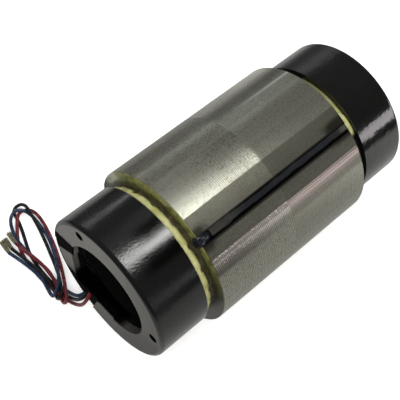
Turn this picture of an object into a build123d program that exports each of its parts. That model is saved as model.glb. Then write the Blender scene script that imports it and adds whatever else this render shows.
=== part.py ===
from build123d import *
import os
from math import cos, radians, sin, tan

os.makedirs("parts", exist_ok=True)

# Lamination stack, lying along X, rear end at +X, bore axis through the origin
bore_radius = 24.0
stack_wall = 21.0
stack_length = 101.2
slot_count = 18
slot_width = 2.6
slot_depth = 3.4
groove_width = 5.2
groove_depth = 2.8
groove_angle = 128.2
groove_count = 3
groove_fill_drop = 0.6
stack_edge_break = 0.3
rest_flat_depth = 0.1

# Potted end caps
cap_bore_gap = 2.3
cap_wall = 14.3
lip_undercut = 0.9
cap_lip_length = 4.6
front_cap_reach = 36.3
rear_cap_reach = 34.8
neck_length = 6.8
front_edge_round = 2.2
rear_edge_round = 2.4
rear_bore_break = 0.8

# Front face: holes, lead recess with its pocket, small tab in the bore
hole_radius = 2.2
hole_depth = 12.0
hole_inset = 7.9
hole_angles = (63.0, 183.0)
recess_depth = 1.2
recess_top = 0.5
recess_low_angle = -67.0
lobe_roll = 12.0
lobe_corner = 3.5
pocket_gap = 1.9
pocket_straight = 15.0
pocket_drop = 23.5
pocket_lean = 1.2
pocket_depth = 8.0
tab_height = 1.9
tab_start_angle = -96.0
tab_end_angle = -69.0

# Yellow collar round the varnished neck
collar_inset = 1.7
collar_wall = 1.5
collar_length = 4.6
scallop_width = 4.6
scallop_depth = 0.9

# Resin lump at the front end of the visible groove
lump_length = 7.6
lump_overhang = 1.6
lump_width = 6.4
lump_drop = 0.15
lump_neck_gap = 1.4
lump_round = 1.1

# Leads
lead_diameter = 2.0
tin_diameter = 1.8
lead_arc_share = 0.45

stack_radius = bore_radius + stack_wall
cap_bore_radius = bore_radius + cap_bore_gap
cap_inner_radius = cap_bore_radius + lip_undercut
cap_radius = cap_bore_radius + cap_wall
hole_circle_radius = cap_bore_radius + hole_inset
tab_radius = cap_bore_radius - tab_height
pocket_side = cap_bore_radius + pocket_gap
collar_radius = cap_radius - collar_inset
neck_radius = collar_radius - collar_wall
floor_z = rest_flat_depth - stack_radius
half_length = stack_length / 2
front_x = -half_length - front_cap_reach
lead_radius = lead_diameter / 2
slot_pitch = 360 / slot_count
groove_pitch = 360 / groove_count


def save(builder, name):
    builder.part.label = name
    export_step(builder.part, "parts/" + name + ".step")


def across(x):
    # plane across the bore axis: its X is the row's Y, its Y is the row's Z
    return Plane(origin=(x, 0, 0), x_dir=(0, 1, 0), z_dir=(1, 0, 0))


def lamination(name, x_start, length, end_index):
    with BuildPart() as piece:
        with BuildSketch(across(x_start)):
            Circle(stack_radius)
            Circle(bore_radius, mode=Mode.SUBTRACT)
        extrude(amount=length)
        rim = piece.faces().sort_by(Axis.X)[end_index].edges().sort_by(SortBy.RADIUS)
        chamfer(rim[-1], stack_edge_break)
        with BuildSketch(across(x_start)):
            with PolarLocations(stack_radius - groove_depth / 2, groove_count, start_angle=groove_angle):
                Rectangle(groove_depth + stack_edge_break, groove_width)
            with PolarLocations(bore_radius, slot_count, start_angle=groove_angle):
                Rectangle(2 * slot_depth, slot_width)
            with Locations((0, floor_z)):
                Rectangle(stack_radius, rest_flat_depth, align=(Align.CENTER, Align.MAX))
        extrude(amount=length, mode=Mode.SUBTRACT)
    save(piece, name)


lamination("front_lamination_stack", -half_length, half_length, 0)
lamination("rear_lamination_stack", 0, half_length, -1)

# Resin that fills the grooves, a little below the steel
fill_names = ("upper_groove_resin", "lower_groove_resin", "hidden_groove_resin")
fill_outer = stack_radius - groove_fill_drop
fill_inner = stack_radius - groove_depth - stack_edge_break / 2
for index, name in enumerate(fill_names):
    start = -half_length + (lump_length if index == 0 else 0)
    with BuildPart() as fill:
        with BuildSketch(across(start)):
            with PolarLocations((fill_outer + fill_inner) / 2, 1, start_angle=groove_angle + index * groove_pitch):
                Rectangle(fill_outer - fill_inner, groove_width)
        extrude(amount=half_length - start)
    save(fill, name)

# Glossy lump: fills the groove's front end and hangs over the stack's end face
lump_outer = stack_radius - lump_drop
lump_depth = lump_outer - neck_radius - lump_neck_gap
with BuildPart() as lump:
    with BuildSketch(across(-half_length)):
        with PolarLocations((lump_outer + fill_inner) / 2, 1, start_angle=groove_angle):
            Rectangle(lump_outer - fill_inner, groove_width)
    extrude(amount=lump_length)
    with BuildSketch(across(-half_length)):
        with PolarLocations(lump_outer - lump_depth / 2, 1, start_angle=groove_angle):
            RectangleRounded(lump_depth, lump_width, lump_round)
    extrude(amount=-lump_overhang)
    outer_end = lump.faces().sort_by(Axis.X)[0]
    fillet(outer_end.edges(), lump_round)
save(lump, "front_resin_lump")

# Wedges that close the slot openings, flush with the bore
for index in range(slot_count):
    with BuildPart() as wedge:
        with BuildSketch(across(-half_length)):
            with PolarLocations(bore_radius, 1, start_angle=groove_angle + index * slot_pitch):
                Rectangle(2 * slot_depth, slot_width)
            Circle(bore_radius, mode=Mode.SUBTRACT)
        extrude(amount=stack_length)
    save(wedge, "slot_wedge_" + str(index + 1).zfill(2))


def ring(x_start, outer, inner):
    with BuildSketch(across(x_start)) as outline:
        Circle(outer)
        Circle(inner, mode=Mode.SUBTRACT)
    return outline.sketch


# Front cap: potting, rounded edge, bore lip, small inward tab, holes, lead recess and pocket
cap_front_length = front_cap_reach - neck_length
with BuildPart() as front_cap:
    extrude(ring(front_x, cap_radius, cap_bore_radius), amount=cap_front_length)
    rim = front_cap.faces().sort_by(Axis.X)[0].edges().sort_by(SortBy.RADIUS)
    fillet(rim[-1], front_edge_round)
    with BuildSketch(across(front_x + cap_lip_length)):
        Circle(cap_inner_radius)
    extrude(amount=cap_front_length - cap_lip_length, mode=Mode.SUBTRACT)
    with BuildSketch(across(front_x)):
        with BuildLine():
            inner = CenterArc((0, 0), tab_radius, tab_start_angle, tab_end_angle - tab_start_angle)
            outer = CenterArc((0, 0), cap_bore_radius, tab_start_angle, tab_end_angle - tab_start_angle)
            Line(inner @ 0, outer @ 0)
            Line(inner @ 1, outer @ 1)
        make_face()
    extrude(amount=cap_lip_length)
    with BuildSketch(across(front_x)):
        for angle in hole_angles:
            turn = radians(angle)
            with Locations((hole_circle_radius * cos(turn), hole_circle_radius * sin(turn))):
                Circle(hole_radius)
    extrude(amount=hole_depth, mode=Mode.SUBTRACT)
    low = radians(recess_low_angle)
    corner_side = cap_radius - lobe_corner
    with BuildSketch(across(front_x)):
        with BuildLine():
            Polyline(
                (0, recess_top),
                (corner_side, recess_top),
                (corner_side + lobe_roll, recess_top + lobe_roll),
                (stack_radius, stack_radius * sin(low)),
                (stack_radius * cos(low), stack_radius * sin(low)),
                (0, 0),
                close=True,
            )
        make_face()
    extrude(amount=recess_depth, mode=Mode.SUBTRACT)
    with BuildSketch(across(front_x)):
        with BuildLine():
            Polyline(
                (0, 0),
                (pocket_side, 0),
                (pocket_side, -pocket_straight),
                (pocket_side - pocket_lean, -pocket_drop),
                (0, -pocket_drop),
                close=True,
            )
        make_face()
    extrude(amount=pocket_depth, mode=Mode.SUBTRACT)
    with BuildSketch(Plane.XZ):
        with BuildLine():
            roll = TangentArc(
                (front_x, recess_top + lobe_roll), (front_x + recess_depth, recess_top), tangent=(0, -1)
            )
            Polyline(roll @ 1, (front_x, recess_top), roll @ 0)
        make_face()
    extrude(amount=-stack_radius, mode=Mode.SUBTRACT)
save(front_cap, "front_end_cap")

# Rear cap, rounded far edge
with BuildPart() as rear_cap:
    extrude(ring(half_length + neck_length, cap_radius, cap_inner_radius), amount=rear_cap_reach - neck_length)
    far = rear_cap.faces().sort_by(Axis.X)[-1].edges().sort_by(SortBy.RADIUS)
    fillet(far[-1], rear_edge_round)
    chamfer(far[0], rear_bore_break)
save(rear_cap, "rear_end_cap")

# Varnished necks and scalloped yellow collars at both ends
for side, name in ((-1, "front"), (1, "rear")):
    inner_end = side * half_length
    with BuildPart() as neck:
        extrude(ring(inner_end, neck_radius, cap_inner_radius), amount=side * neck_length)
    save(neck, name + "_winding_neck")
    collar_start = side * (half_length + neck_length - collar_length)
    with BuildPart() as collar:
        extrude(ring(collar_start, collar_radius, neck_radius), amount=side * collar_length)
        with BuildSketch(across(collar_start)):
            with PolarLocations(collar_radius, slot_count, start_angle=groove_angle):
                Rectangle(2 * (collar_radius - neck_radius) + scallop_depth, scallop_width)
            Circle(neck_radius, mode=Mode.SUBTRACT)
        extrude(amount=side * scallop_depth, mode=Mode.SUBTRACT)
    save(collar, name + "_insulation_collar")

# Routes of the leads: forward of the front face, across, above the floor;
# from the recess down to the floor, round a loop and back to a tight fold
red_route = [
    (-recess_depth, 17.6, 18.6), (1.0, 16.3, 18.4), (3.0, 16.6, 16.0), (4.2, 18.4, 12.0), (4.8, 22.0, 8.2),
    (5.0, 26.4, 4.8), (5.2, 31.6, 2.0), (5.9, 38.4, 1.0), (6.8, 45.2, 1.0), (7.0, 52.3, 1.0),
    (6.5, 60.9, 1.0), (5.3, 69.9, 1.0), (2.9, 77.6, 1.0), (-0.9, 83.8, 1.0), (-4.6, 88.8, 2.4),
    (-8.2, 92.8, 3.4), (-11.7, 94.3, 2.4), (-15.1, 93.7, 1.2), (-17.3, 90.9, 1.0), (-17.4, 84.9, 1.3),
    (-15.3, 75.6, 1.9), (-11.3, 63.5, 3.3), (-6.2, 51.4, 4.9), (-1.7, 42.6, 6.0), (2.1, 35.9, 7.0),
    (4.2, 32.7, 7.6), (5.4, 30.2, 7.9), (7.0, 29.4, 5.8), (7.5, 31.1, 3.4), (6.4, 35.1, 3.6),
    (4.1, 41.2, 3.4), (1.4, 50.8, 3.0), (1.7, 59.4, 3.0), (2.7, 67.3, 3.0), (3.5, 74.4, 3.0), (3.7, 78.8, 3.0),
]
blue_route = [
    (-recess_depth, 22.6, 12.9), (1.2, 23.2, 12.4), (2.6, 25.6, 10.8), (2.8, 29.6, 8.0), (2.5, 36.5, 3.8),
    (2.3, 44.3, 1.0), (1.5, 51.6, 1.0), (0.7, 58.3, 1.0), (0.4, 65.0, 2.0), (1.0, 71.4, 3.2),
    (1.3, 77.4, 3.2), (1.0, 82.6, 3.2), (-0.2, 87.0, 3.2), (-2.2, 91.3, 3.4), (-4.8, 94.3, 4.0),
    (-8.2, 95.3, 4.8), (-11.3, 94.2, 4.6), (-13.5, 91.6, 3.3), (-14.2, 86.4, 3.0), (-13.5, 79.0, 3.1),
    (-11.6, 70.0, 3.4), (-8.0, 60.8, 4.1), (-3.6, 51.8, 5.6), (1.3, 43.6, 7.2), (4.6, 39.2, 7.6),
    (7.2, 36.8, 7.2), (9.2, 36.4, 5.2), (10.0, 38.0, 3.2), (9.0, 42.4, 3.0), (7.2, 49.2, 3.0),
    (7.4, 56.0, 3.0), (8.2, 63.0, 3.0), (9.4, 69.8, 3.0), (10.6, 75.8, 3.0),
]
black_route = [
    (-recess_depth, 20.3, 15.1), (1.2, 19.9, 14.7), (2.9, 21.4, 12.7), (3.8, 24.4, 9.4), (4.3, 29.0, 6.2),
    (4.0, 35.8, 2.4), (4.4, 43.4, 1.0), (4.2, 51.3, 1.0), (3.6, 58.7, 1.0), (2.6, 65.6, 1.0),
    (0.6, 72.0, 1.0), (-2.3, 78.8, 1.0), (-5.2, 85.8, 1.0), (-7.3, 92.1, 1.0), (-8.1, 97.0, 1.1),
    (-10.6, 99.1, 1.9), (-13.9, 98.2, 3.2), (-15.3, 95.2, 4.4), (-14.7, 91.0, 5.2), (-13.4, 85.2, 5.0),
    (-11.6, 77.1, 4.3), (-9.2, 68.9, 2.7), (-6.4, 60.6, 2.1), (-3.2, 51.8, 3.1), (0.1, 43.9, 4.8),
    (3.6, 37.7, 5.8), (6.1, 34.0, 6.8), (8.2, 33.2, 5.1), (8.9, 34.8, 3.0), (6.9, 39.6, 3.0),
    (4.8, 46.4, 3.0), (4.2, 54.8, 3.0), (4.6, 63.2, 3.0), (5.5, 70.9, 3.0), (6.6, 77.2, 3.0),
]
red_tip = (2.6, 87.1, 2.7)
blue_tip = (8.6, 85.4, 2.2)
black_tip = (6.1, 85.0, 2.5)


def placed(point):
    forward, side, height = point
    return Vector(front_x - forward, side, floor_z + height)


def lead(name, route, tip):
    points = [placed(point) for point in route]
    radii = []
    for before, here, after in zip(points, points[1:], points[2:]):
        first = here - before
        second = after - here
        half_turn = radians(first.get_angle(second)) / 2
        radii.append(lead_arc_share * min(first.length, second.length) / tan(half_turn))
    with BuildPart() as tube:
        with BuildLine() as path:
            FilletPolyline(*points, radius=radii)
        with BuildSketch(Plane(origin=path.line @ 0, z_dir=path.line % 0)):
            Circle(lead_radius)
        sweep()
    length = path.wire().length
    section = Circle(lead_radius, mode=Mode.PRIVATE).area
    print(name, "length", round(length, 1), "volume ratio", round(tube.part.volume / section / length, 4))
    print("  radii", [round(value, 1) for value in radii])
    save(tube, name)
    along = placed(tip) - points[-1]
    with BuildPart() as tin:
        with BuildSketch(Plane(origin=points[-1], z_dir=along)):
            Circle(tin_diameter / 2)
        extrude(amount=along.length)
    save(tin, name + "_tinned_end")


lead("red_lead", red_route, red_tip)
lead("blue_lead", blue_route, blue_tip)
lead("black_lead", black_route, black_tip)
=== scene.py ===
import math
import random

import bmesh
import bpy
from mathutils import Matrix, Vector


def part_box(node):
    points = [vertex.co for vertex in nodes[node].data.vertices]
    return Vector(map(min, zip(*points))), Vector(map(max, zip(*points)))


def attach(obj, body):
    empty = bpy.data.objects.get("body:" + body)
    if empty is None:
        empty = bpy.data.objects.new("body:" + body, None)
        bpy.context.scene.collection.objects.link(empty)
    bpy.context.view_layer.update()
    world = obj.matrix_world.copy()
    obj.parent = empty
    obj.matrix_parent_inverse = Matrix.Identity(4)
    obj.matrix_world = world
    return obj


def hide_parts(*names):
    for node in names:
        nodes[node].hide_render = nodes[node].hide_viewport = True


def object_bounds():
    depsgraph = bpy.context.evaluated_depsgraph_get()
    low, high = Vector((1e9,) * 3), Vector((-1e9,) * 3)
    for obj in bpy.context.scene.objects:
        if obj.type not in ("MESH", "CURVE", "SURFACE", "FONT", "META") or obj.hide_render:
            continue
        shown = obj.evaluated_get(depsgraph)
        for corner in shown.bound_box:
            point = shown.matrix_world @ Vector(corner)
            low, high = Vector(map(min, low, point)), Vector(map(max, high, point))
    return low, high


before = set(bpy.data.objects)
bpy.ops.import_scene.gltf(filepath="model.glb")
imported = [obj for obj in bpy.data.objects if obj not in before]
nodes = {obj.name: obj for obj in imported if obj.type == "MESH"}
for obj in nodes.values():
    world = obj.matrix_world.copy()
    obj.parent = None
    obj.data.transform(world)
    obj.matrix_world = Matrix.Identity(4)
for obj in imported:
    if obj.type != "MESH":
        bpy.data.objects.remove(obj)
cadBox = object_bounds()
mm = 0.001
floorZ = cadBox[0][2]
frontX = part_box("front_end_cap")[0][0]
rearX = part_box("rear_end_cap")[1][0]
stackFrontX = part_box("front_lamination_stack")[0][0]
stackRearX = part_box("rear_lamination_stack")[1][0]
print("frame loaded:", len(nodes), "solids, floor at", round(floorZ, 4))


def span(*lengths):
    # lengths given in mm
    return tuple(length * mm for length in lengths)


def addObject(name, data):
    made = bpy.data.objects.new(name, data)
    bpy.context.scene.collection.objects.link(made)
    return made


def toMesh(name, shape, material):
    mesh = bpy.data.meshes.new(name)
    shape.to_mesh(mesh)
    shape.free()
    mesh.materials.append(material)
    return mesh


# camera

view = {
    "place": (-0.2113, -0.1987, 0.3948),
    "right": (0.7281, -0.6854, 0.0),
    "up": (0.5564, 0.5911, 0.5840),
    "lens": 84.5,
    "sensor": 36.0,
    "nearest": 0.01,
    "farthest": 50.0,
}


def addCamera():
    data = bpy.data.cameras.new("camera")
    data.lens = view["lens"]
    data.sensor_width = view["sensor"]
    data.clip_start = view["nearest"]
    data.clip_end = view["farthest"]
    right = Vector(view["right"]).normalized()
    up = Vector(view["up"]).normalized()
    turn = Matrix((right, up, right.cross(up))).transposed().to_4x4()
    camera = addObject("camera", data)
    camera.matrix_world = Matrix.Translation(view["place"]) @ turn
    bpy.context.scene.camera = camera


addCamera()
print("camera placed")


# shader helpers

class Wire:
    # a socket that takes part in sums

    def __init__(self, finish, socket):
        self.finish = finish
        self.socket = socket

    def math(self, operation, first, second=None):
        values = {0: first}
        if second is not None:
            values[1] = second
        return self.finish.node("Math", {"operation": operation}, values)["Value"]

    def __add__(self, other):
        return self.math("ADD", self, other)

    def __radd__(self, other):
        return self.math("ADD", other, self)

    def __sub__(self, other):
        return self.math("SUBTRACT", self, other)

    def __rsub__(self, other):
        return self.math("SUBTRACT", other, self)

    def __mul__(self, other):
        return self.math("MULTIPLY", self, other)

    def __truediv__(self, other):
        return self.math("DIVIDE", self, other)

    def __mod__(self, other):
        return self.math("MODULO", self, other)

    def __pow__(self, other):
        return self.math("POWER", self, other)

    def sine(self):
        return self.math("SINE", self)

    def least(self, other):
        return self.math("MINIMUM", self, other)

    def most(self, other):
        return self.math("MAXIMUM", self, other)

    def step(self, low, high):
        # 0 at low, 1 at high, smooth between
        values = {"Value": self, "From Min": low, "From Max": high}
        return self.finish.node("MapRange", {"interpolation_type": "SMOOTHSTEP"}, values)["Result"]

    def band(self, low, high, soft):
        # 1 between low and high
        return self.step(low - soft, low + soft) * (1 - self.step(high - soft, high + soft))


class Made:
    # a node whose outputs are wires

    def __init__(self, finish, node):
        self.finish = finish
        self.made = node

    def __getitem__(self, output):
        return Wire(self.finish, self.made.outputs[output])


class Finish:
    # a material, or the room's light, made node by node

    def __init__(self, name, tree=None):
        if tree is None:
            self.material = bpy.data.materials.new(name)
            self.material.use_nodes = True
            tree = self.material.node_tree
        self.tree = tree
        tree.nodes.clear()

    def node(self, kind, settings=None, values=None):
        made = self.tree.nodes.new("ShaderNode" + kind)
        for name, value in (settings or {}).items():
            setattr(made, name, value)
        for name, value in (values or {}).items():
            socket = made.inputs[name]
            if isinstance(value, Wire):
                self.tree.links.new(value.socket, socket)
            elif socket.type == "RGBA":
                socket.default_value = value + (1.0,)
            else:
                socket.default_value = value
        return Made(self, made)

    def coords(self):
        return self.node("TexCoord")["Object"]

    def axes(self, coords):
        split = self.node("SeparateXYZ", None, {0: coords})
        return split["X"], split["Y"], split["Z"]

    def turnAngle(self, y, z):
        # degrees from +Y through +Z, 0 to 360
        return (z.math("ARCTAN2", z, y) * (180 / math.pi) + 360) % 360.0

    def reach(self, y, z):
        return (y * y + z * z) ** 0.5

    def noise(self, vector, scale, detail):
        values = {"Vector": vector, "Scale": scale, "Detail": detail, "Roughness": 0.5}
        return self.node("TexNoise", None, values)["Fac"]

    def lineNoise(self, along, scale):
        values = {"W": along, "Scale": scale, "Detail": 1.0}
        return self.node("TexNoise", {"noise_dimensions": "1D"}, values)["Fac"]

    def drawnNoise(self, coords, scale, detail):
        # a scale for each axis
        vector = self.node("Mapping", None, {"Vector": coords, "Scale": scale})["Vector"]
        return self.noise(vector, 1.0, detail)

    def mix(self, share, first, second):
        values = {0: share, 6: first, 7: second}
        return self.node("Mix", {"data_type": "RGBA"}, values)[2]

    def bump(self, height, strength):
        # height in metres
        values = {"Height": height, "Distance": 1.0, "Strength": strength}
        return self.node("Bump", None, values)["Normal"]

    def surface(self, colour, rough, normal, metal=0.0):
        values = {"Base Color": colour, "Roughness": rough, "Metallic": metal, "Normal": normal}
        made = self.node("BsdfPrincipled", None, values)
        self.node("OutputMaterial", None, {"Surface": made["BSDF"]})
        return self.material


def dress(name, material):
    mesh = nodes[name].data
    mesh.materials.clear()
    mesh.materials.append(material)


# leads

leads = {
    "diameter": 2.0 * mm,
    "roundness": 4,
    "patches": (260.0, 3.0),              # noises: scale, detail
    "dust": (900.0, 2.0),
    "dustTone": (0.30, 0.28, 0.24),
    "strand": 0.52 * mm,
    "strandRoundness": 2,
    "strandCount": 13,
    "spread": 0.80 * mm,
    "core": 0.35,                         # every third strand lies further in
    "tuck": 2 * mm,                       # strands start inside the insulation
    "fan": (1.0, 2.1),
    "reach": (0.92, 1.12),
    "seed": 7,
    "tinPatches": (700.0, 3.0),
    "tinTones": ((0.16, 0.15, 0.085), (0.36, 0.34, 0.22)),
}

# routes in mm: ahead of the cap's face, to the far side, above the floor
redRoute = [
    (-1.2, 17.6, 18.6), (1.0, 16.3, 18.4), (3.0, 16.6, 16.0), (4.2, 18.4, 12.0),
    (4.8, 22.0, 8.2), (5.0, 26.4, 4.8), (5.2, 31.6, 2.0), (5.9, 38.4, 1.0),
    (6.8, 45.2, 1.0), (7.0, 52.3, 1.0), (6.5, 60.9, 1.0), (5.3, 69.9, 1.0),
    (2.9, 77.6, 1.0), (-0.9, 83.8, 1.0), (-4.6, 88.8, 2.4), (-8.2, 92.8, 3.4),
    (-11.7, 94.3, 2.4), (-15.1, 93.7, 1.2), (-17.3, 90.9, 1.0), (-17.4, 84.9, 1.3),
    (-15.3, 75.6, 1.9), (-11.3, 63.5, 3.3), (-6.2, 51.4, 4.9), (-1.7, 42.6, 6.0),
    (2.1, 35.9, 7.0), (4.2, 32.7, 7.6), (5.4, 30.0, 8.1), (7.2, 28.6, 5.8),
    (8.0, 30.4, 2.9), (6.9, 35.1, 3.2), (4.2, 41.2, 3.3), (1.4, 50.8, 3.0),
    (1.7, 59.4, 3.0), (2.7, 67.3, 3.0), (3.5, 74.4, 3.0), (3.7, 78.8, 3.0),
]
blueRoute = [
    (-1.2, 22.6, 12.9), (1.2, 23.2, 12.4), (2.6, 25.6, 10.8), (2.8, 29.6, 8.0),
    (2.5, 36.5, 3.8), (2.3, 44.3, 1.0), (1.5, 51.6, 1.0), (0.9, 58.3, 1.0),
    (1.5, 65.0, 1.4), (2.3, 71.4, 1.9), (2.1, 77.4, 2.6), (1.3, 82.6, 3.1),
    (-0.2, 87.0, 3.2), (-2.2, 91.3, 3.4), (-4.8, 94.3, 4.0), (-8.2, 95.3, 4.8),
    (-11.3, 94.2, 4.6), (-13.5, 91.6, 3.3), (-14.2, 86.4, 3.0), (-13.5, 79.0, 3.1),
    (-12.0, 69.5, 3.4), (-8.5, 60.2, 4.1), (-4.2, 51.2, 5.7), (0.8, 43.0, 7.3),
    (4.3, 38.8, 7.7), (7.2, 36.8, 7.2), (9.2, 36.4, 5.2), (10.0, 38.0, 3.2),
    (9.0, 42.4, 3.0), (7.2, 49.2, 3.0), (7.2, 56.0, 3.0), (7.9, 63.0, 3.0),
    (9.0, 69.8, 3.0), (10.2, 75.8, 3.0),
]
blackRoute = [
    (-1.2, 20.3, 15.1), (1.2, 19.9, 14.7), (2.9, 21.4, 12.7), (3.8, 24.4, 9.4),
    (4.3, 29.0, 6.2), (4.0, 35.8, 2.4), (4.4, 43.4, 1.0), (4.2, 51.3, 1.0),
    (3.6, 58.7, 1.0), (2.6, 65.6, 1.0), (0.6, 72.0, 1.0), (-2.3, 78.8, 1.0),
    (-5.2, 85.8, 1.0), (-7.3, 92.1, 1.0), (-8.1, 97.0, 1.1), (-10.6, 99.1, 1.9),
    (-13.9, 98.2, 3.2), (-15.3, 95.2, 4.4), (-14.7, 91.0, 5.2), (-13.4, 85.2, 5.0),
    (-11.6, 77.1, 4.3), (-9.2, 68.9, 2.7), (-6.4, 60.6, 2.1), (-3.2, 51.8, 3.1),
    (0.1, 43.9, 4.8), (3.6, 37.7, 5.8), (6.1, 34.0, 6.8), (8.2, 33.2, 5.1),
    (8.9, 34.8, 3.0), (6.9, 39.6, 3.0), (5.5, 46.4, 3.0), (5.4, 54.8, 3.0),
    (5.9, 63.2, 3.0), (6.8, 70.9, 3.0), (7.5, 77.2, 3.0),
]
leadRuns = [
    # name, route, tip of the strands, stated length, colour
    ("red", redRoute, (2.6, 87.1, 2.7), 0.223, (0.080, 0.008, 0.012)),
    ("blue", blueRoute, (8.6, 85.4, 2.2), 0.193, (0.006, 0.015, 0.036)),
    ("black", blackRoute, (6.1, 85.0, 2.5), 0.210, (0.003, 0.0035, 0.005)),
]


def placed(point):
    ahead, side, height = point
    return Vector((frontX - ahead * mm, side * mm, floorZ + height * mm))


def addLine(name, lines, radius, roundness):
    # smooth round lines, each through its own control points
    curve = bpy.data.curves.new(name, "CURVE")
    curve.dimensions = "3D"
    curve.bevel_depth = radius
    curve.bevel_resolution = roundness
    curve.use_fill_caps = True
    curve.resolution_u = 8
    for points in lines:
        spline = curve.splines.new("NURBS")
        spline.points.add(len(points) - 1)
        for control, place in zip(spline.points, points):
            control.co = (*place, 1.0)
        spline.order_u = 3
        spline.use_endpoint_u = True
    return addObject(name, curve)


def leadFinish(name, colour):
    finish = Finish(name)
    coords = finish.coords()
    patch = finish.noise(coords, *leads["patches"])
    dust = finish.noise(coords, *leads["dust"]).step(0.58, 0.78)
    pale = tuple(channel * 1.7 + 0.004 for channel in colour)
    tone = finish.mix(patch.step(0.35, 0.7), colour, pale)
    return finish.surface(
        colour=finish.mix(dust * 0.08, tone, leads["dustTone"]),
        rough=0.2 + patch * 0.14,
        normal=finish.bump(patch * 0.12 * mm, 0.4),
    )


def tinFinish():
    finish = Finish("tinnedStrands")
    patch = finish.noise(finish.coords(), *leads["tinPatches"])
    return finish.surface(
        colour=finish.mix(patch.step(0.35, 0.65), *leads["tinTones"]),
        metal=0.7,
        rough=0.36 + patch * 0.2,
        normal=finish.bump(patch * 0.1 * mm, 0.5),
    )


def strandLines(before, end, tip):
    # fans out from the end of the insulation
    start = end - (end - before).normalized() * leads["tuck"]
    along = tip - end
    up = Vector((0, 0, 1))
    across = along.cross(up).normalized()
    strands = []
    for index in range(leads["strandCount"]):
        turn = 2 * math.pi * index / leads["strandCount"]
        ring = leads["spread"] * (leads["core"] if index % 3 == 0 else 1.0)
        spot = across * math.cos(turn) + up * math.sin(turn)
        fan = random.uniform(*leads["fan"])
        reach = random.uniform(*leads["reach"])
        strands.append([
            start + spot * ring * 0.8,
            end + spot * ring,
            end + along * 0.5 * reach + spot * ring * 1.3,
            end + along * reach + spot * ring * fan,
        ])
    return strands


def addLeads():
    random.seed(leads["seed"])
    tinned = tinFinish()
    for name, route, tip, length, colour in leadRuns:
        points = [placed(point) for point in route]
        lead = addLine(name + "Lead", [points], leads["diameter"] / 2, leads["roundness"])
        lead.data.materials.append(leadFinish(name + "Insulation", colour))
        strands = strandLines(points[-2], points[-1], placed(tip))
        brush = addLine(name + "TinnedStrands", strands, leads["strand"] / 2, leads["strandRoundness"])
        brush.data.materials.append(tinned)
        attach(lead, "root")
        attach(brush, "root")
        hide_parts(name + "_lead")
        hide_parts(name + "_lead_tinned_end")


addLeads()
print("leads laid:", len(leadRuns))


# lamination stack, with angles in degrees from +Y through +Z

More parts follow.
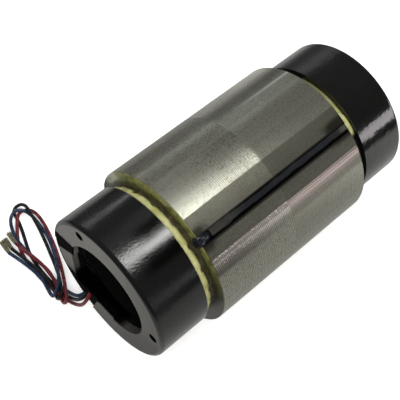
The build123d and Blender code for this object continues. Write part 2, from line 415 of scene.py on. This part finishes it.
stackLook = {
    "pitch": 1.0 * mm,
    "toSeam": span(-44, -3),
    "streaks": ((14.0, 900.0, 900.0), 3.0),           # noises: scale, detail
    "hairlines": ((6.0, 2300.0, 2300.0), 2.0),
    "clouds": (38.0, 3.0),
    "grain": (1300.0, 2.0),
    "spots": (330.0, 3.0),
    "speckTone": (0.12, 0.11, 0.078),
    "rubTone": (0.62, 0.62, 0.54),
    "streakTone": (0.21, 0.20, 0.16),
    "cloudTone": (0.22, 0.21, 0.155),
    # painted shade on the lower side of the stack
    "lowSide": ((147.0, 152.0), (185.0, 215.0)),
    "lowTone": (0.15, 0.145, 0.115),
    "glare": (140.5, 150.0, 1.2),                     # bands: from, to, softness
    "pinkTone": (0.56, 0.46, 0.43),
    "glintTone": (0.90, 0.88, 0.84),
    "rubbedLine": (71.0, 73.2, 0.6),
    "rubbedFrom": span(4, 46),
    "rubbedTone": (0.95, 0.95, 0.88),
    "scratches": (81.0, 97.0, 2.0),
    "scratchTone": (0.80, 0.80, 0.72),
    "grooveAngle": 128.2,
    # dark gap with painted shadow along the groove's edges
    "gap": (-4.1, 4.6, 0.6),                          # off the groove's middle
    "gapTone": (0.020, 0.020, 0.016),
    "filmLow": 111.7,
    "filmHigh": 142.4,
    "filmTones": ((0.172, 0.170, 0.138), (0.140, 0.136, 0.102)),
    "filmDown": (126.0, 133.0),
    "filmDownTone": (0.070, 0.076, 0.056),
    "filmSpeckTone": (0.06, 0.055, 0.038),
    "filmDarkTone": (0.026, 0.029, 0.022),
    "ridgeTone": (0.07, 0.068, 0.052),
    "endDepth": span(0.05, 0.25),
    "endRise": span(2, 42),
    "endTones": ((0.014, 0.012, 0.006), (0.21, 0.215, 0.066)),
    "endSpotTone": (0.016, 0.013, 0.006),
    "endShade": span(38.6, 41.5),
    "endShadeTone": (0.012, 0.011, 0.006),
    "smear": (24.0, 42.0, 6.0),
    "smearReach": span(39.5, 42),
    # painted highlights on varnish beads
    "bead": (91.5, 97.0, 0.6),
    "beadReach": span(40.8, 43.8, 0.4),
    "smearTone": (0.46, 0.46, 0.38),
    "front": {
        "sheets": ((0.48, 0.48, 0.405), (0.56, 0.56, 0.475)),
        "bands": [
            # from, to, softness, share at the front end, share at the seam, tone
            # painted shade over the top and the far side
            (-20.0, 81.0, 7.0, 0.45, 0.45, (0.25, 0.25, 0.21)),
            (67.6, 72.4, 1.4, 0.5, 0.5, (0.66, 0.66, 0.57)),              # painted reflection: pale line over the top
            (83.0, 141.0, 3.0, 0.5, 0.0, (0.76, 0.76, 0.65)),             # painted highlight, brighter towards the front
            # painted shade on the highlight towards the seam
            (83.0, 141.0, 3.0, 0.0, 0.45, (0.20, 0.20, 0.17)),
            # painted shade beside the highlight
            (74.5, 81.0, 1.5, 0.36, 0.36, (0.20, 0.20, 0.17)),
        ],
        "glareBands": [
            (149.0, 154.5, 1.6, 0.75, 0.20, (0.10, 0.096, 0.080)),        # painted shade: dull strip below the glare
            # painted shade that dims the glare
            (140.5, 145.8, 0.8, 0.85, 0.85, (0.13, 0.122, 0.104)),
            (146.2, 150.0, 0.8, 0.9, 0.2, (0.13, 0.122, 0.104)),
        ],
        "specks": 0.62,
        "lowShare": 0.40,
        "pink": 0.15,
        "filmMore": 0.0,
        "filmDark": 0.0,
        "ridgeShade": 0.5,
        "run": (119.5, 137.0, 2.5),                   # resin run round the lump
        "runWander": 6.0,
        "runReach": span(4, 10),
        "runRagged": 8 * mm,
        "runTone": (0.030, 0.026, 0.018),
        "rough": 0.28,
        "ridge": 0.085 * mm,
        "lean": 0.0,
        "grainHeight": 0.022 * mm,
    },
    "rear": {
        "sheets": ((0.37, 0.37, 0.31), (0.43, 0.43, 0.36)),
        "bands": [
            # painted highlight
            (82.0, 100.0, 2.5, 0.45, 0.45, (0.66, 0.66, 0.56)),
            # painted shade beside the highlight
            (74.5, 81.0, 1.5, 0.36, 0.36, (0.20, 0.20, 0.17)),
        ],
        "glareBands": [
            # painted shade: dull strip below the glare
            (149.0, 154.5, 1.6, 0.5, 0.5, (0.10, 0.096, 0.080)),
            # painted shade that dims the glare
            (140.5, 150.0, 1.2, 0.85, 0.85, (0.13, 0.122, 0.104)),
            (141.5, 145.6, 0.8, 0.5, 0.5, (0.060, 0.055, 0.048)),
        ],
        "specks": 0.4,
        "lowShare": 0.45,
        "pink": 0.4,
        "filmMore": 1.1,
        "filmDark": 0.5,
        "ridgeShade": 0.35,
        "run": (119.5, 134.5, 2.0),                   # resin run out at the rear
        "runWander": 5.0,
        "runReach": span(9, 17),
        "runRagged": -7 * mm,
        "runTone": (0.012, 0.012, 0.008),
        "rough": 0.24,
        "ridge": 0.030 * mm,
        "lean": 0.16 * mm,
        "grainHeight": 0.014 * mm,
    },
}


class Steel(Finish):
    # one half of the stack, coloured layer by layer

    def __init__(self, name, end):
        super().__init__(name)
        self.front = end == "front"
        self.half = stackLook[end]
        coords = self.coords()
        x, y, z = self.axes(coords)
        self.x = x
        self.z = z
        self.angle = self.turnAngle(y, z)
        self.far = self.reach(y, z)
        self.depth = x - stackFrontX if self.front else stackRearX - x
        self.toSeam = x.step(*stackLook["toSeam"])
        self.phase = x / stackLook["pitch"]
        self.ridges = (self.phase * (2 * math.pi)).sine() * 0.5 + 0.5
        self.sheet = self.lineNoise(x, 1 / stackLook["pitch"])            # one tone a sheet
        self.streak = self.drawnNoise(coords, *stackLook["streaks"])      # drawn lengthwise
        self.hairs = self.drawnNoise(coords, *stackLook["hairlines"])
        self.cloud = self.noise(coords, *stackLook["clouds"])
        self.grain = self.noise(coords, *stackLook["grain"])
        self.spots = self.noise(coords, *stackLook["spots"])
        self.tone = self.mix(self.sheet.step(0.3, 0.7), *self.half["sheets"])

    def lay(self, mask, share, tone):
        self.tone = self.mix(mask * share, self.tone, tone)

    def layBands(self, bands):
        for low, high, soft, share, seamShare, tone in bands:
            change = self.toSeam * (seamShare - share)
            self.lay(self.angle.band(low, high, soft), share + change, tone)

    def layGrainAndShade(self):
        self.lay(self.grain.step(0.50, 0.66), self.half["specks"], stackLook["speckTone"])
        self.lay(1 - self.grain.step(0.32, 0.46), 0.35, stackLook["rubTone"])
        self.lay(self.streak.step(0.5, 0.75), 0.3, stackLook["streakTone"])
        # painted shade on the lower side
        rise, fall = stackLook["lowSide"]
        lowSide = self.angle.step(*rise) * (1 - self.angle.step(*fall))
        self.lay(lowSide, self.half["lowShare"], stackLook["lowTone"])
        self.lay(self.cloud.step(0.56, 0.72), 0.16, stackLook["cloudTone"])

    def layGlare(self):
        # painted shade over the glare, then painted reflections and glints on it
        self.layBands(self.half["glareBands"])
        glare = self.angle.band(*stackLook["glare"])
        # painted reflection: pinkish lengthwise lines in the glare
        self.lay(glare * self.hairs.step(0.4, 0.62), self.half["pink"], stackLook["pinkTone"])
        if self.front:
            # painted glints in the glare
            glint = glare * self.grain.step(0.54, 0.62) * self.hairs.step(0.45, 0.6)
            self.lay(glint, 0.7, stackLook["glintTone"])
        else:
            # painted reflection: a bright lengthwise line over the top
            line = self.angle.band(*stackLook["rubbedLine"]) * self.x.step(*stackLook["rubbedFrom"])
            self.lay(line, 0.85, stackLook["rubbedTone"])
            scratch = self.hairs.step(0.60, 0.68) * self.angle.band(*stackLook["scratches"])
            self.lay(scratch, 0.4, stackLook["scratchTone"])

    def layFilm(self):
        # varnish wiped along the groove
        low = stackLook["filmLow"]
        high = stackLook["filmHigh"] + self.half["filmMore"]
        upper = (self.angle + (self.streak - 0.5) * 0.7).step(low - 0.35, low + 0.35)
        lower = (self.angle + (self.hairs - 0.5) * 6).step(high - 1.8, high + 1.2)
        film = upper * (1 - lower)
        coat = self.mix(self.cloud.step(0.3, 0.7), *stackLook["filmTones"])
        down = self.angle.step(*stackLook["filmDown"]) * 0.55
        coat = self.mix(down, coat, stackLook["filmDownTone"])
        coat = self.mix(self.grain.step(0.5, 0.68) * 0.3, coat, stackLook["filmSpeckTone"])
        coat = self.mix(self.half["filmDark"], coat, stackLook["filmDarkTone"])
        self.lay(film, 0.92, coat)
        return film

    def layResin(self):
        wander = self.angle + (self.cloud - 0.5) * self.half["runWander"]
        ragged = self.depth + (self.spots - 0.5) * self.half["runRagged"]
        run = wander.band(*self.half["run"]) * (1 - ragged.step(*self.half["runReach"]))
        self.lay(run, 0.85, self.half["runTone"])
        # dark gap with painted shadow along the groove's edges
        gap = (self.angle - stackLook["grooveAngle"]).band(*stackLook["gap"])
        self.lay(gap, 0.95, stackLook["gapTone"])

    def layEnding(self):
        # varnish on the end face, darker towards the bottom, with painted shadow by the collar
        ending = 1 - self.depth.step(*stackLook["endDepth"])
        varnish = self.mix(self.z.step(*stackLook["endRise"]), *stackLook["endTones"])
        varnish = self.mix(self.spots.step(0.46, 0.64) * 0.6, varnish, stackLook["endSpotTone"])
        shade = (1 - self.far.step(*stackLook["endShade"])) * 0.6         # by the collar
        varnish = self.mix(shade, varnish, stackLook["endShadeTone"])
        if self.front:
            smear = self.angle.band(*stackLook["smear"]) * self.far.step(*stackLook["smearReach"])
            # painted highlights on varnish beads
            bead = self.angle.band(*stackLook["bead"]) * self.far.band(*stackLook["beadReach"])
            smearsAndGlints = (smear * self.spots.step(0.3, 0.5)).most(bead * self.spots.step(0.45, 0.6))
            varnish = self.mix(smearsAndGlints * 0.8, varnish, stackLook["smearTone"])
        self.lay(ending, 1.0, varnish)
        return ending

    def build(self):
        self.layBands(self.half["bands"])
        self.layGrainAndShade()
        self.layGlare()
        film = self.layFilm()
        self.lay(1 - self.ridges.step(0.05, 0.4), self.half["ridgeShade"], stackLook["ridgeTone"])
        self.layResin()
        ending = self.layEnding()
        rough = self.half["rough"] + self.streak * 0.08 + self.cloud * 0.06 + self.grain * 0.06
        rough = rough * (1 - film) + film * (0.5 + self.grain * 0.14)
        lean = 1 - (self.phase + 1000) % 1.0
        height = (self.ridges * 0.9 + self.sheet * 0.1) * self.half["ridge"] + lean * self.half["lean"]
        height = height * (1 - film * 0.35) + self.grain * self.half["grainHeight"]
        return self.surface(
            colour=self.tone,
            metal=1 - ending * 0.95,
            rough=rough * (1 - ending) + ending * 0.34,
            normal=self.bump(height * (1 - ending) + self.spots * ending * 0.14 * mm, 1.0),
        )


dress("front_lamination_stack", Steel("frontLaminations", "front").build())
dress("rear_lamination_stack", Steel("rearLaminations", "rear").build())
print("laminations finished")


# groove resin and its lump, wedges and winding necks

grooveLook = {
    "pitch": 120.0,                       # three grooves
    "clouds": (160.0, 4.0),
    "fill": (-2.3, 1.25, 0.5),            # degrees off the groove's middle
    "fore": span(12, 32),                 # from the stack's ends
    "aft": span(-7, -3),
    "tones": ((0.003, 0.005, 0.008), (0.009, 0.012, 0.014)),
    "foreTone": (0.030, 0.026, 0.017),
    "aftTone": (0.040, 0.042, 0.030),
    "emptyTone": (0.002, 0.002, 0.002),
}


def grooveFinish():
    finish = Finish("grooveResin")
    coords = finish.coords()
    x, y, z = finish.axes(coords)
    cloud = finish.noise(coords, *grooveLook["clouds"])
    pitch = grooveLook["pitch"]
    turned = finish.turnAngle(y, z) + (pitch * 4.5 - stackLook["grooveAngle"])
    across = turned % pitch - pitch / 2
    fore = 1 - (x - stackFrontX).step(*grooveLook["fore"])
    aft = (x - stackRearX).step(*grooveLook["aft"])
    # painted shadow: black without shine along the groove's edges, outside the resin band
    filled = (across * (1 - fore * 0.34) + (cloud - 0.5) * 2.2).band(*grooveLook["fill"])
    tone = finish.mix(cloud, *grooveLook["tones"])
    tone = finish.mix(fore * cloud.step(0.25, 0.7), tone, grooveLook["foreTone"])
    tone = finish.mix(aft * 0.6, tone, grooveLook["aftTone"])
    rough = 0.30 + cloud * 0.2 + fore * 0.16 + aft * 0.1
    return finish.surface(
        colour=finish.mix(filled, grooveLook["emptyTone"], tone),
        metal=1 - filled * (0.5 + fore * 0.2 + aft * 0.25),
        rough=rough * filled + (1 - filled) * 0.6,
        normal=finish.bump(cloud * 0.4 * mm, 0.6),
    )


resinLook = {
    # colour, roughness, noise scale, share of black metal that dims the shine
    "resinLump": ((0.008, 0.009, 0.013), 0.17, 420.0, 0.55),
    "slotWedge": ((0.016, 0.014, 0.012), 0.25, 300.0, 0.0),
    "windingVarnish": ((0.03, 0.026, 0.012), 0.16, 380.0, 0.0),
    "rearWindingVarnish": ((0.005, 0.005, 0.003), 0.3, 380.0, 0.0),
}


def wetFinish(name):
    colour, rough, scale, dull = resinLook[name]
    finish = Finish(name)
    cloud = finish.noise(finish.coords(), scale, 3.0)
    pale = tuple(channel * 2.2 + 0.003 for channel in colour)
    return finish.surface(
        colour=finish.mix(cloud.step(0.35, 0.75), colour, pale),
        metal=dull,
        rough=rough + cloud * rough,
        normal=finish.bump(cloud * 0.25 * mm, 0.5),
    )


lumpLook = {
    "along": -47.6 * mm,
    "out": 42.6 * mm,
    "half": span(5.4, 3.4, 2.5),          # along, round, out
    "taper": 0.22,                        # narrower to the rear
    "fineness": 4,
}


def addLump():
    shape = bmesh.new()
    bmesh.ops.create_icosphere(shape, subdivisions=lumpLook["fineness"], radius=1.0)
    for vert in shape.verts:
        spot = vert.co
        swell = 0.07 * math.sin(spot.x * 4 + 1.0) * math.cos(spot.y * 5)
        swell += 0.06 * math.sin(spot.z * 5 + spot.x * 3)
        narrow = 1 - lumpLook["taper"] * spot.x
        vert.co = Vector((spot.x, spot.y * narrow, spot.z * narrow)) * (0.96 + swell)
    bmesh.ops.scale(shape, vec=lumpLook["half"], verts=shape.verts)
    bmesh.ops.translate(shape, vec=(lumpLook["along"], 0, lumpLook["out"]), verts=shape.verts)
    turn = Matrix.Rotation(math.radians(stackLook["grooveAngle"]) - math.pi / 2, 3, "X")
    bmesh.ops.rotate(shape, cent=(0, 0, 0), matrix=turn, verts=shape.verts)
    for face in shape.faces:
        face.smooth = True
    lump = addObject("resinLump", toMesh("resinLump", shape, wetFinish("resinLump")))
    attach(lump, "root")
    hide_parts("front_resin_lump")


groove = grooveFinish()
for name in ("upper_groove_resin", "lower_groove_resin", "hidden_groove_resin"):
    dress(name, groove)
addLump()
wedge = wetFinish("slotWedge")
for name in nodes:
    if name.startswith("slot_wedge"):
        dress(name, wedge)
dress("front_winding_neck", wetFinish("windingVarnish"))
dress("rear_winding_neck", wetFinish("rearWindingVarnish"))
print("resin finished")


# end caps

capLook = {
    "gloss": {"front": 0.15, "rear": 0.06},
    "dimples": {"front": (850.0, 3.0), "rear": (210.0, 2.0)},     # noises: scale, detail
    "dimpleHeight": {"front": 0.17, "rear": 0.16},
    "clouds": (45.0, 2.0),
    "peel": (420.0, 3.0),
    "grain": (1500.0, 3.0),
    "dust": (2600.0, 2.0),
    "scuffs": ((60.0, 700.0, 700.0), 2.0),
    "blacks": ((0.0025, 0.0025, 0.0025), (0.005, 0.0052, 0.0048)),
    "greys": ((0.105, 0.102, 0.092), (0.15, 0.146, 0.132)),
    "grimeTone": (0.024, 0.023, 0.020),
    "lowGrime": span(-40, 6),
    "nearGrime": span(-36, 4),
    "faceRadius": span(38.4, 38.9),
    "faceDepth": span(0.25, 0.5),
    "boreRadius": span(26.4, 26.6),
    "boreDepth": span(3, 6),
    "smooth": span(6, 26),
    "wipedAbove": (97.0, 108.8, 3.0),     # degrees round the cap
    "wipedAboveFrom": span(9, 22),
    "wipedBelow": (114.8, 127.0, 3.2),
    "wipedBelowFrom": span(1, 16),
    "dullTop": (76.0, 90.0),
    "outletSide": span(10, 12),           # round the lead outlet
    "rollDepth": span(1.4, 1.6),
    "rollTop": 12.3 * mm,
    "rollLow": -0.5 * mm,
    "rollSoft": 1.1 * mm,
    "rollRagged": 2 * mm,
    "footSide": 28 * mm,
    "footSlope": 0.4,
    "belowRoll": span(-0.9, -0.3),
    "ledgeDepth": span(0.9, 1.5, 0.1),
    "ledgeLow": span(-20.7, -18.3),
    "ledgeRadius": span(38.5, 38.9),
    "wallLow": span(-18, -13),
    "wallDepth": span(1.4, 4.6, 0.2),
    "wallRadius": span(39.6, 39.9),
    "pocketSide": span(28.4, 28.6),
    "lipDepth": span(4.3, 4.6),
    "lipRadius": span(26.6, 26.9),
    "blackLow": span(-20, -15),
    "blackSide": span(-12, -5),
    "blackDepth": span(0.55, 9, 0.15),
    "holeTurns": (63.0, 183.0),
    "holeReach": 34.2 * mm,
    "holeRim": span(2.45, 2.75),
    "holeDepth": span(20, 21),
}


class Cap(Finish):
    # glossy black potting with a ground grey face

    def __init__(self, name, end):
        super().__init__(name)
        self.end = end
        self.place = self.coords()
        x, self.y, self.z = self.axes(self.place)
        self.far = self.reach(self.y, self.z)
        self.depth = x - frontX if end == "front" else rearX - x
        self.peel = self.noise(self.place, *capLook["peel"])

    def frontMasks(self, face, black):
        # grey ground zones, and painted shade in the hollows round the lead outlet and at the screw holes
        y, z, far, depth = self.y, self.z, self.far, self.depth
        outlet = y.step(*capLook["outletSide"])
        soft = capLook["rollSoft"]
        top = capLook["rollTop"] + (self.peel - 0.5) * capLook["rollRagged"]
        low = capLook["rollLow"]
        foot = z + (y - capLook["footSide"]).most(0.0) * capLook["footSlope"]     # widens outward
        # painted shade on the rolled edge under the lobe and on the ledge at its foot
        rollShade = outlet * (1 - depth.step(*capLook["rollDepth"]))
        rollShade = rollShade * (1 - z.step(top - soft, top + soft)) * foot.step(low - soft, low + soft)
        below = outlet * (1 - z.step(*capLook["belowRoll"]))
        ledge = below * depth.band(*capLook["ledgeDepth"]) * z.step(*capLook["ledgeLow"])
        ledge = ledge * (1 - far.step(*capLook["ledgeRadius"]))
        upperWall = z.step(*capLook["wallLow"])
        inner = 1 - far.step(*capLook["wallRadius"])
        wall = below * depth.band(*capLook["wallDepth"]) * inner * upperWall
        wall = wall * (1 - y.step(*capLook["pocketSide"]))
        lip = (1 - depth.step(*capLook["lipDepth"])) * (1 - far.step(*capLook["lipRadius"]))
        lip = lip * (1 - below * (1 - upperWall))
        # painted shadow deep in the lead pocket
        pocketShadow = (1 - z.step(*capLook["blackLow"])) * y.step(*capLook["blackSide"])
        pocketShadow = pocketShadow * depth.band(*capLook["blackDepth"]) * inner
        sides = lip.most(ledge).most(wall * 0.7) * (1 - pocketShadow * (0.8 + self.peel * 0.2))
        matte = face.most(sides) * (1 - rollShade)
        black = black.most(rollShade).most(pocketShadow * 0.92)
        for turn in capLook["holeTurns"]:
            holeY = y - math.cos(math.radians(turn)) * capLook["holeReach"]
            holeZ = z - math.sin(math.radians(turn)) * capLook["holeReach"]
            holeShade = 1 - self.reach(holeY, holeZ).step(*capLook["holeRim"])
            holeShade = holeShade * (1 - depth.step(*capLook["holeDepth"]))           # painted shade round the screw hole's dark edge
            matte = matte * (1 - holeShade)
            black = black.most(holeShade)
        return matte, black

    def cutShine(self, grain):
        # painted shade: black metal that takes the shine off both sides of the glare
        turn = self.turnAngle(self.y, self.z) + (grain - 0.5) * 4
        above = turn.band(*capLook["wipedAbove"]) * self.depth.step(*capLook["wipedAboveFrom"])
        below = turn.band(*capLook["wipedBelow"]) * self.depth.step(*capLook["wipedBelowFrom"])
        return above.most(below) * 0.8

    def greyFace(self, grain):
        grey = self.mix(grain.step(0.3, 0.7), *capLook["greys"])
        # painted shade: the face darker towards the bottom and the near side
        low = (1 - self.z.step(*capLook["lowGrime"])) * 0.75
        near = (1 - self.y.step(*capLook["nearGrime"])) * 0.6
        return self.mix((low + near).least(0.85), grey, capLook["grimeTone"])

    def build(self):
        cloud = self.noise(self.place, *capLook["clouds"])
        grain = self.noise(self.place, *capLook["grain"])
        dust = self.noise(self.place, *capLook["dust"]).step(0.6, 0.78)
        scuff = self.drawnNoise(self.place, *capLook["scuffs"]).step(0.62, 0.8)
        dimple = self.noise(self.place, *capLook["dimples"][self.end]) * capLook["dimpleHeight"][self.end]
        gloss = capLook["gloss"][self.end]
        rough = gloss + cloud * 0.06 + scuff * 0.1 + dust * 0.16 + grain * 0.05
        matte = 1 - self.far.step(*capLook["faceRadius"])
        matte = matte * (1 - self.depth.step(*capLook["faceDepth"]))
        # painted shade: black without shine deep in the bore
        black = (1 - self.far.step(*capLook["boreRadius"])) * self.depth.step(*capLook["boreDepth"]) * 0.85
        if self.end == "front":
            smooth = self.depth.step(*capLook["smooth"])                  # glossier by the collar
            rough = rough - smooth * 0.045
            dimple = dimple * (1 - smooth * 0.55)
            matte, black = self.frontMasks(matte, black)
            metal = black.most(self.cutShine(grain))
        else:
            top = 1 - self.turnAngle(self.y, self.z).step(*capLook["dullTop"])
            rough = rough + top * 0.22
            metal = black
        relief = cloud * 0.28 + dimple + self.peel * 0.05 + grain * (gloss * 20 + matte) * 0.016
        return self.surface(
            colour=self.mix(matte, self.mix(cloud, *capLook["blacks"]), self.greyFace(grain)),
            metal=metal,
            rough=(rough * (1 - black) + black) * (1 - matte) + matte * 0.55,
            normal=self.bump(relief * mm, 0.6),
        )


dress("front_end_cap", Cap("frontPottedCap", "front").build())
dress("rear_end_cap", Cap("rearPottedCap", "rear").build())
print("caps finished")


# yellow collars

collarLook = {
    "steps": 540,
    "slotCount": 18,
    "thick": 1.5 * mm,
    "profile": [
        # share of the way to the stack, drop from the outside
        (0.0, 0.5 * mm), (0.08, 0.12 * mm), (0.3, 0.0), (0.6, 0.05 * mm),
        (0.84, 0.4 * mm), (1.0, 0.9 * mm),
    ],
    "wave": 1.25 * mm,
    "lump": 0.175 * mm,
    "rearFall": 1.3 * mm,                 # the rear collar sinks away from the top
    "rearTop": 130.0,                     # degrees, with the flat and the slope beside it
    "rearFlat": 6.0,
    "rearSlope": 5.0,
    "rearShown": (76.0, 124.0),
    "rearShownFall": 0.93,
    "clouds": (220.0, 4.0),
    "fibres": ((1500.0, 500.0, 500.0), 3.0),
    "tones": ((0.27, 0.262, 0.085), (0.41, 0.40, 0.185)),
    "fibreTone": (0.15, 0.13, 0.045),
    "fade": (94.0, 122.0),
    "fadeTone": (0.060, 0.056, 0.020),
    "coveredTone": (0.006, 0.006, 0.003),
}


def collarFinish(name, low, high, faded):
    finish = Finish(name)
    coords = finish.coords()
    angle = finish.turnAngle(*finish.axes(coords)[1:])
    cloud = finish.noise(coords, *collarLook["clouds"])
    fibre = finish.drawnNoise(coords, *collarLook["fibres"])
    tone = finish.mix(cloud.step(0.3, 0.7), *collarLook["tones"])
    tone = finish.mix(fibre.step(0.55, 0.75) * 0.5, tone, collarLook["fibreTone"])
    tone = finish.mix((1 - angle.step(*collarLook["fade"])) * faded, tone, collarLook["fadeTone"])
    bare = angle.band(low, high, 2.0)                                     # varnished over elsewhere
    return finish.surface(
        colour=finish.mix(bare, collarLook["coveredTone"], tone),
        rough=0.32 + cloud * 0.2,
        normal=finish.bump((cloud * 0.7 + fibre * 0.3) * 0.4 * mm, 0.7),
    )


def rearFall(degrees):
    off = abs(degrees - collarLook["rearTop"]) - collarLook["rearFlat"]
    fall = min(max(off / collarLook["rearSlope"], 0.0), 1.0)
    first, last = collarLook["rearShown"]
    return fall * (collarLook["rearShownFall"] if first < degrees < last else 1.0)


def addCollar(name, node, side, finish):
    low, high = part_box(node)
    outer = high[2]
    inner = outer - collarLook["thick"]
    near, far = (low[0], high[0]) if side < 0 else (high[0], low[0])      # cap side, stack side
    depth = far - near
    profile = [(near + depth * share, outer - drop) for share, drop in collarLook["profile"]]
    profile = [(near, inner)] + profile + [(far, inner)]
    shape = bmesh.new()
    verts = [shape.verts.new((x, 0.0, r)) for x, r in profile]
    edges = [shape.edges.new((verts[i], verts[(i + 1) % len(verts)])) for i in range(len(verts))]
    bmesh.ops.spin(
        shape, geom=verts + edges, cent=(0, 0, 0), axis=(1, 0, 0), dvec=(0, 0, 0),
        angle=2 * math.pi, steps=collarLook["steps"], use_merge=True, use_duplicate=False,
    )
    bmesh.ops.remove_doubles(shape, verts=shape.verts, dist=0.01 * mm)
    for vert in shape.verts:
        turn = math.atan2(vert.co.z, vert.co.y)
        slot = (turn - math.radians(stackLook["grooveAngle"])) * collarLook["slotCount"]
        share = max((vert.co.x - near) / depth, 0.0)                      # 0 at the cap, 1 at the stack
        bite = max(math.cos(slot), 0.0) ** 3 * (0.75 + 0.25 * math.sin(turn * 5 + 2.0))
        bite = max(bite + math.sin(turn * 31) * 0.08, 0.0)
        vert.co.x -= math.copysign(collarLook["wave"], depth) * bite * share ** 1.5
        radius = math.hypot(vert.co.y, vert.co.z)
        if radius > inner + 0.2 * mm:
            swell = math.sin(turn * 23 + 0.7) * 0.4 + math.sin(turn * 41 + 2.0) * 0.3 - 0.5
            grown = radius + collarLook["lump"] * swell
            if side > 0:
                sunk = collarLook["rearFall"] * rearFall(math.degrees(turn))
                grown = max(grown - sunk, inner + 0.1 * mm)
            vert.co.y *= grown / radius
            vert.co.z *= grown / radius
    bmesh.ops.recalc_face_normals(shape, faces=shape.faces)
    for face in shape.faces:
        face.smooth = True
    collar = addObject(name, toMesh(name, shape, finish))
    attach(collar, "root")
    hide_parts(node)


# the front one is bare all round, the rear one over part of its turn
frontYellow = collarFinish("frontYellow", -10.0, 370.0, 0.0)
rearYellow = collarFinish("rearYellow", 76.0, 138.5, 0.7)
addCollar("frontCollar", "front_insulation_collar", -1, frontYellow)
addCollar("rearCollar", "rear_insulation_collar", 1, rearYellow)
print("collars shaped")


# floor, room and lamps

room = {
    "floorSize": 6.0,
    "floorTone": (0.80, 0.80, 0.79),
    "floorLift": 0.42,
    "floorShine": 0.58,
    "shineTone": (1.0, 1.0, 0.97),
    "shineReach": (0.24, 0.40),
    "shineDrop": 0.97,
    "shineBehind": (0.07, 0.2),
    "shineGain": 1.3,                     # painted pool of light on the floor behind the part, seen in reflections
    "roomShine": 0.11,
    "roomTilt": 0.06,                     # far wall paler than the near one
    "fill": 0.62,
    "white": (1.0, 1.0, 1.0),
}


def floorFinish():
    finish = Finish("paleFloor")
    path = finish.node("LightPath")
    matt = finish.node("BsdfDiffuse", None, {"Color": room["floorTone"]})["BSDF"]
    strength = path["Is Camera Ray"] * room["floorLift"]
    lift = finish.node("Emission", None, {"Color": room["white"], "Strength": strength})["Emission"]
    seen = finish.node("AddShader", None, {0: matt, 1: lift})["Shader"]
    x, y = finish.axes(finish.coords())[:2]
    # painted light: in reflections the floor glows, fading away from the part, with a painted pool of
    # light behind it
    fade = 1 - finish.reach(x, y).step(*room["shineReach"]) * room["shineDrop"]
    fade = fade * (1 + x.step(*room["shineBehind"]) * room["shineGain"])
    values = {"Color": room["shineTone"], "Strength": fade * room["floorShine"]}
    shine = finish.node("Emission", None, values)["Emission"]
    both = finish.node("MixShader", None, {0: path["Is Glossy Ray"], 1: seen, 2: shine})["Shader"]
    finish.node("OutputMaterial", None, {"Surface": both})
    return finish.material


def addFloor():
    shape = bmesh.new()
    bmesh.ops.create_grid(shape, x_segments=1, y_segments=1, size=room["floorSize"] / 2)
    bmesh.ops.translate(shape, verts=shape.verts, vec=(0, 0, floorZ))
    floor = addObject("floor", toMesh("floor", shape, floorFinish()))


def addWorld():
    world = bpy.data.worlds.new("room")
    bpy.context.scene.world = world
    world.use_nodes = True
    finish = Finish("room", world.node_tree)
    path = finish.node("LightPath")
    camera = path["Is Camera Ray"]
    glossy = path["Is Glossy Ray"]
    across = finish.axes(finish.node("TexCoord")["Generated"])[1]
    shine = room["roomShine"] + across * room["roomTilt"]
    level = camera + (1 - camera) * (glossy * shine + (1 - glossy) * room["fill"])
    back = finish.node("Background", None, {"Color": room["white"], "Strength": level})["Background"]
    finish.node("OutputWorld", None, {"Surface": back})


lamps = {
    "overheadPanel": {
        "place": (0.22, -0.19, 0.80), "aim": (-0.03, 0.0, 0.04), "size": (0.26, 0.26),
        "watts": 3.3, "colour": (1.0, 1.0, 0.98), "inGloss": True,
    },
    "ceilingGlow": {
        "place": (0.22, 0.25, 0.80), "aim": (-0.03, 0.0, 0.04), "size": (0.30, 0.55),
        "watts": 0.15, "colour": (1.0, 1.0, 0.98), "inGloss": True,
    },
    "sideWindow": {
        "place": (0.95, -1.0, 0.165), "aim": (0.0, 0.0, 0.0), "size": (0.9, 0.31),
        "watts": 5.4, "colour": (1.0, 0.945, 0.975), "inGloss": True,
    },
    "sideWall": {
        "place": (0.386, -1.35, 0.20), "aim": (-0.07, -0.03, 0.0), "size": (0.35, 0.24),
        "watts": 0.17, "colour": (0.95, 0.90, 1.0), "inGloss": True,
    },
    "farTube": {
        "place": (0.45, 0.8, 0.385), "aim": (0.0, 0.0, 0.0), "size": (0.8, 0.045),
        "watts": 0.55, "colour": (0.96, 1.0, 0.98), "inGloss": True,
    },
    "cameraFill": {
        "place": (-0.55, -0.5, 0.9), "aim": (0.0, 0.0, 0.0), "size": (0.7, 0.7),
        "watts": 9.0, "colour": (1.0, 0.99, 0.97), "inGloss": False,
    },
}


def addLamps():
    for name, lamp in lamps.items():
        data = bpy.data.lights.new(name, "AREA")
        data.shape = "RECTANGLE"
        data.size, data.size_y = lamp["size"]
        data.energy = lamp["watts"]
        data.color = lamp["colour"]
        away = (Vector(lamp["place"]) - Vector(lamp["aim"])).normalized()
        turn = away.to_track_quat("Z", "Y").to_matrix().to_4x4()
        made = addObject(name, data)
        made.matrix_world = Matrix.Translation(lamp["place"]) @ turn
        made.visible_glossy = lamp["inGloss"]


addFloor()
addWorld()
addLamps()
bpy.context.scene.view_settings.view_transform = "Standard"
print("room lit")
